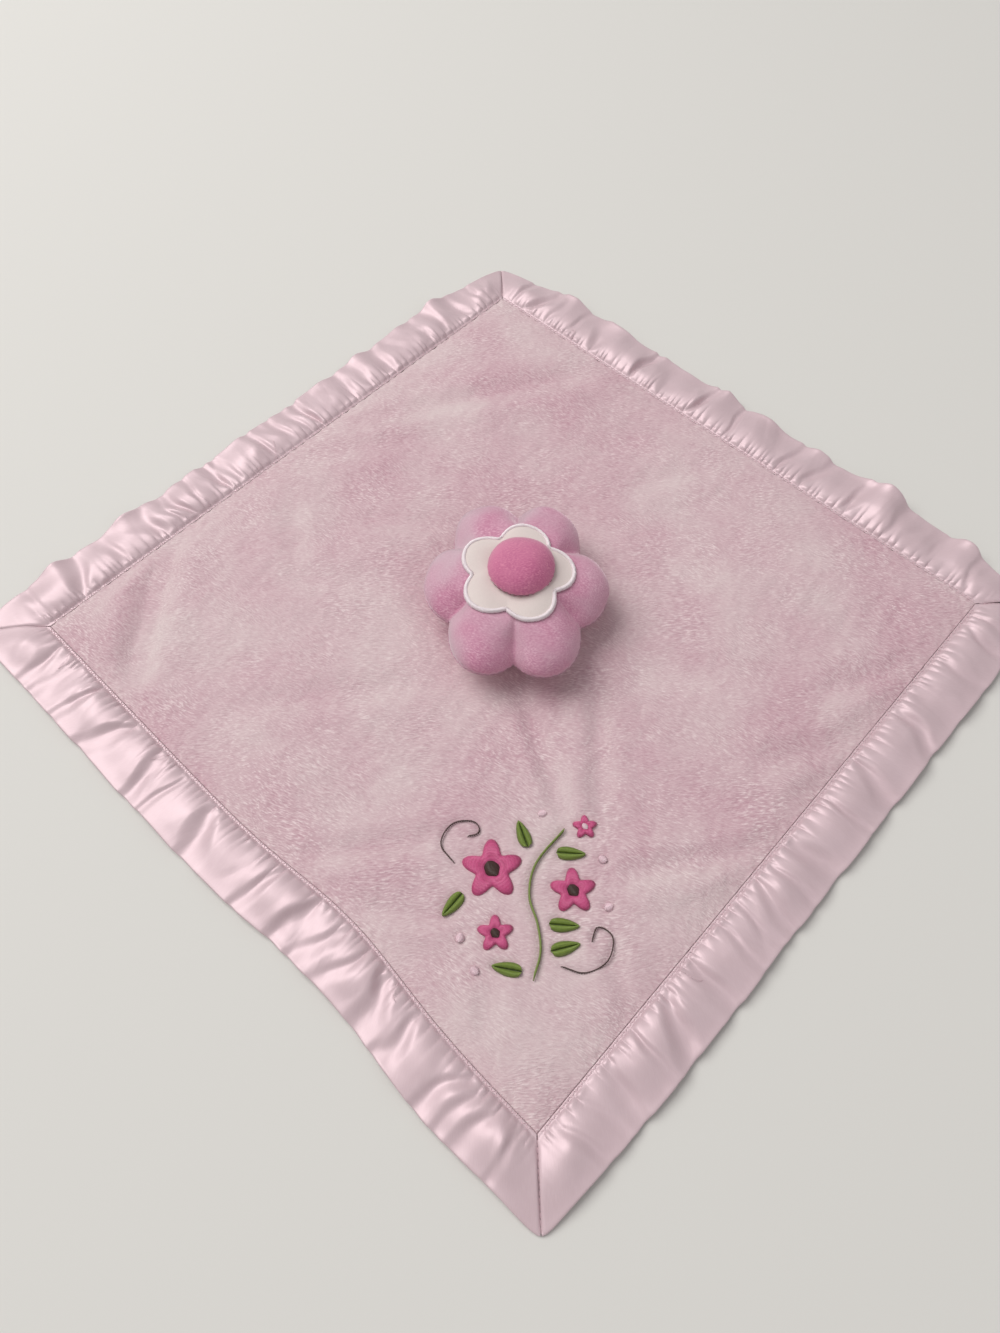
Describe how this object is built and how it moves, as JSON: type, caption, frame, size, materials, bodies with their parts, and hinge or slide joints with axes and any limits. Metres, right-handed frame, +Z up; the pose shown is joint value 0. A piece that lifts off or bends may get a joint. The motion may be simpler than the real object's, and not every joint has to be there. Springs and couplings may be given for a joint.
{
  "type": "comfort blanket with stuffed flower",
  "caption": "Small square plush comfort blanket with a gathered satin trim, an embroidered sprig near one corner and a soft stuffed flower sewn on its middle.",
  "frame": {"origin": "middle of the blanket, on the surface that it lies on", "axes": "+Z up out of the plush face, -Y towards the embroidered corner, +X towards the corner on its right"},
  "size_m": [0.4904, 0.4904, 0.0471],
  "materials": {
    "plush": "short-pile pale pink plush",
    "satin": "glossy pale pink satin",
    "seam_thread": "pale pink sewing thread",
    "pink_thread": "deep pink embroidery thread",
    "green_thread": "leaf green embroidery thread",
    "pale_thread": "pale pink embroidery thread",
    "brown_thread": "dark brown embroidery thread",
    "backing": "white non-woven backing",
    "petal_velour": "lilac pink velour",
    "petal_thread": "lilac pink sewing thread",
    "stuffing": "white polyester fibre",
    "white_felt": "white short-nap fabric",
    "white_thread": "white embroidery thread with a pink cast",
    "centre_velour": "deep pink velour",
    "shank_thread": "strong pale pink thread"
  },
  "bodies": {
    "blanket": {"plush_front_panel": "plush", "plush_back_panel": "plush", "satin_trim_near_left": "satin", "satin_trim_near_right": "satin", "satin_trim_far_right": "satin", "satin_trim_far_left": "satin", "trim_seam_thread_near_left": "seam_thread", "trim_seam_thread_near_right": "seam_thread", "trim_seam_thread_far_right": "seam_thread", "trim_seam_thread_far_left": "seam_thread", "mitre_thread_near": "seam_thread", "mitre_thread_right": "seam_thread", "mitre_thread_far": "seam_thread", "mitre_thread_left": "seam_thread", "embroidery_backing": "backing", "sprig_stem": "green_thread", "sprig_leaf_1": "green_thread", "sprig_leaf_2": "green_thread", "sprig_leaf_3": "green_thread", "sprig_leaf_4": "green_thread", "sprig_leaf_5": "green_thread", "sprig_leaf_6": "green_thread", "sprig_blossom_large": "pink_thread", "sprig_blossom_middle": "pink_thread", "sprig_blossom_small": "pink_thread", "sprig_blossom_bud": "pink_thread", "sprig_eye_large": "brown_thread", "sprig_eye_middle": "brown_thread", "sprig_eye_small": "brown_thread", "sprig_eye_bud": "pale_thread", "sprig_seed_1": "pale_thread", "sprig_seed_2": "pale_thread", "sprig_seed_3": "pale_thread", "sprig_seed_4": "pale_thread", "sprig_seed_5": "pale_thread", "sprig_tendril_upper": "brown_thread", "sprig_tendril_lower": "brown_thread", "shank_core_thread": "shank_thread"},
    "shank_inner": {"shank_inner_wrap": "shank_thread"},
    "shank_outer": {"shank_outer_wrap": "shank_thread"},
    "flower": {"flower_top_cover": "petal_velour", "flower_under_cover": "petal_velour", "petal_seam_thread": "petal_thread", "flower_stuffing": "stuffing", "flower_applique": "white_felt", "applique_edge_stitching": "white_thread", "flower_centre_cover": "centre_velour", "flower_centre_stuffing": "stuffing", "centre_seam_thread": "centre_velour"}
  },
  "joints": [
    {"name": "flower_tip_front_back", "type": "hinge", "parent": "blanket", "child": "shank_inner", "pos_m": [0, 0.0028, 0.0074], "axis": [1, 0, 0], "range_deg": [-6, 6], "stiffness_Nm_per_rad": 0.03},
    {"name": "flower_tip_left_right", "type": "hinge", "parent": "shank_inner", "child": "shank_outer", "pos_m": [0, 0.0028, 0.0074], "axis": [0, 1, 0], "range_deg": [-6, 6], "stiffness_Nm_per_rad": 0.03},
    {"name": "flower_turn", "type": "hinge", "parent": "shank_outer", "child": "flower", "pos_m": [0, 0.0028, 0.0074], "axis": [0, 0, 1], "range_deg": [-20, 20], "stiffness_Nm_per_rad": 0.01}
  ]
}
